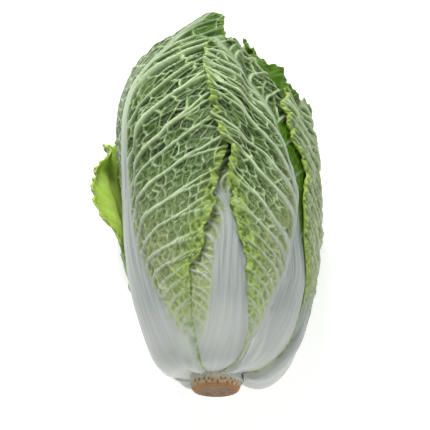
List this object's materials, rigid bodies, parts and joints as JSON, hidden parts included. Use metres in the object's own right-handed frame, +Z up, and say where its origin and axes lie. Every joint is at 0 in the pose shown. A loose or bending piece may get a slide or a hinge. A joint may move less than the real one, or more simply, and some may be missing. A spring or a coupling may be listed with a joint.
{
  "type": "napa cabbage",
  "caption": "Oblong head of napa cabbage lying on its side, with a cut stem, broad white ribs and netted leaves with frilled edges.",
  "frame": {"origin": "on the table, under the middle of the head's bounding box", "axes": "+Y from the cut stem towards the leaf tips, +Z up, +X to the right when looking along +Y"},
  "size_m": [0.1822, 0.2904, 0.1422],
  "materials": {
    "cut_stem": "dry, rough plant tissue",
    "heart_leaves": "waxy leaf",
    "leaf": "waxy leaf with white ribs",
    "outer_leaf": "waxy leaf with white ribs"
  },
  "bodies": {
    "root": {"stem": "cut_stem", "heart": "heart_leaves", "front_leaf": "leaf", "left_leaf": "leaf", "under_leaf": "leaf", "right_leaf": "leaf", "left_outer_leaf": "outer_leaf", "right_outer_leaf": "outer_leaf"}
  },
  "joints": []
}
